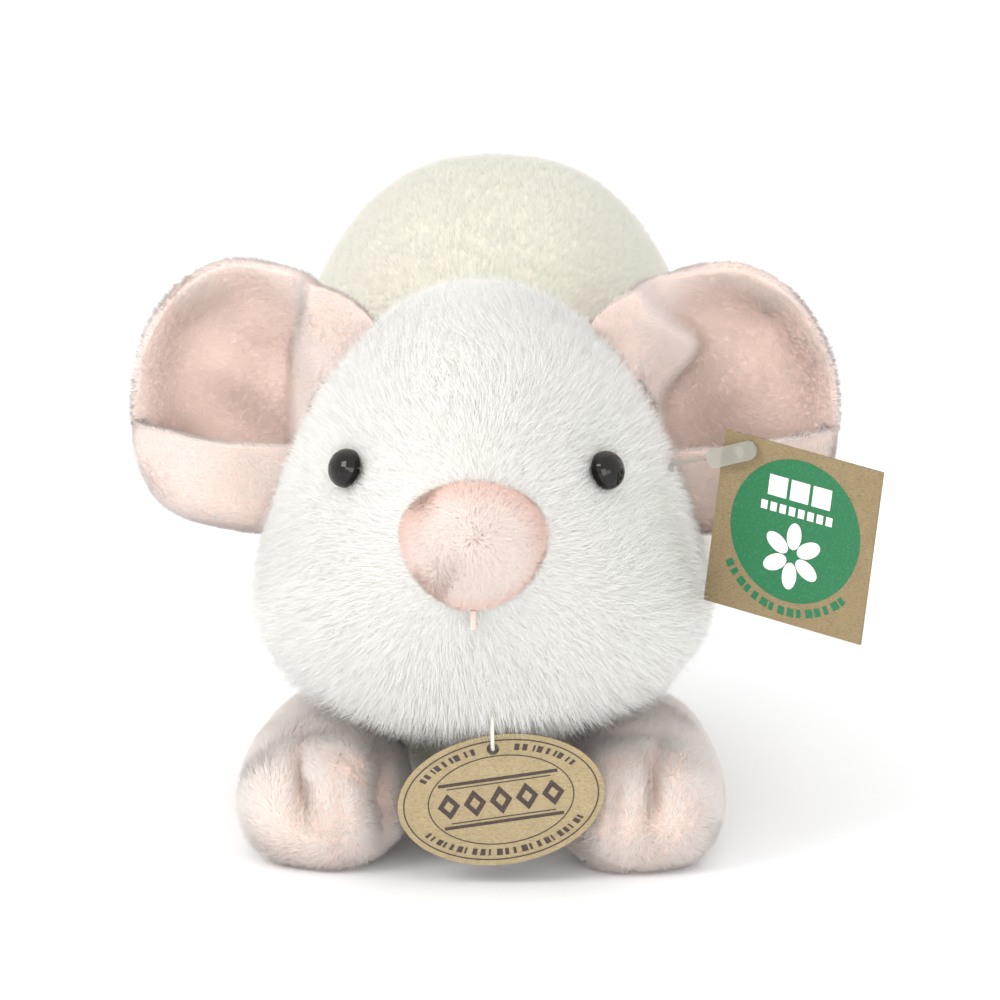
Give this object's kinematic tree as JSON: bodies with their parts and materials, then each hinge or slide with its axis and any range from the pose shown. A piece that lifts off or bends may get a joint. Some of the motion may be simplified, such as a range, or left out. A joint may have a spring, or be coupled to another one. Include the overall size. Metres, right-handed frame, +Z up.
{
  "type": "plush mouse",
  "caption": "Soft plush mouse lying on its belly, with long white pile on the head, pink velboa ears, paws, nose and tail, safety eyes and two card hang tags.",
  "frame": {"origin": "centre of the flat belly, on the surface that the toy lies on", "axes": "+Z up, -Y the way the face looks, +X to the toy's left side"},
  "size_m": [0.1607, 0.2693, 0.1355],
  "materials": {
    "long_pile": "long white plush pile",
    "short_pile": "short cream plush pile",
    "velboa_pink": "short pink velboa pile",
    "ear_lining": "short pink velboa pile",
    "fibre": "polyester fibre filling",
    "pellets": "cloth bag of plastic pellets",
    "thread_pink": "polyester thread",
    "thread_cream": "polyester thread",
    "eye_black": "polished black plastic",
    "washer": "natural plastic",
    "label_tape": "woven satin tape",
    "kraft_card": "printed unbleached card",
    "fastener": "translucent plastic",
    "loop": "elastic cord"
  },
  "bodies": {
    "torso": {"back_left_panel": "short_pile", "back_right_panel": "short_pile", "belly_panel": "short_pile", "body_filling": "fibre", "pellet_bag": "pellets", "closing_stitches": "thread_cream", "head_left_panel": "long_pile", "head_right_panel": "long_pile", "head_gusset": "long_pile", "chin_panel": "long_pile", "head_filling": "fibre", "nose_pad": "velboa_pink", "mouth_stitch": "thread_pink", "eye_left": "eye_black", "eye_right": "eye_black", "eye_washer_left": "washer", "eye_washer_right": "washer", "front_paw_left": "velboa_pink", "front_paw_right": "velboa_pink", "paw_filling_left": "fibre", "paw_filling_right": "fibre", "toe_stitches_left": "thread_pink", "toe_stitches_right": "thread_pink", "hind_foot_left": "velboa_pink", "hind_foot_right": "velboa_pink", "foot_filling_left": "fibre", "foot_filling_right": "fibre", "care_label": "label_tape", "oval_tag_loop": "loop", "tag_fastener": "fastener"},
    "ear_left": {"ear_left_lining": "ear_lining", "ear_left_back": "velboa_pink"},
    "ear_right": {"ear_right_lining": "ear_lining", "ear_right_back": "velboa_pink"},
    "tail": {"tail_cover": "velboa_pink", "tail_core": "fibre"},
    "oval_tag": {"oval_tag": "kraft_card"},
    "square_tag": {"square_tag": "kraft_card"}
  },
  "joints": [
    {"name": "ear_left_fold", "type": "hinge", "parent": "torso", "child": "ear_left", "pos_m": [-0.0385, -0.034, 0.0925], "axis": [0.225, 0, 0.9744], "range_deg": [-35, 20], "stiffness_Nm_per_rad": 0.02},
    {"name": "ear_right_fold", "type": "hinge", "parent": "torso", "child": "ear_right", "pos_m": [0.0385, -0.034, 0.0925], "axis": [-0.225, 0, 0.9744], "range_deg": [-20, 35], "stiffness_Nm_per_rad": 0.02},
    {"name": "tail_swing", "type": "hinge", "parent": "torso", "child": "tail", "pos_m": [0, 0.092, 0.032], "axis": [0, 0, 1], "range_deg": [-35, 35]},
    {"name": "oval_tag_swing", "type": "hinge", "parent": "torso", "child": "oval_tag", "pos_m": [0.00348, -0.08, 0.02956], "axis": [-1, 0, 0], "range_deg": [0, 45]},
    {"name": "square_tag_swing", "type": "hinge", "parent": "torso", "child": "square_tag", "pos_m": [0.0544, -0.066, 0.0902], "axis": [-0.4848, -0.8746, 0], "range_deg": [0, 45]}
  ]
}
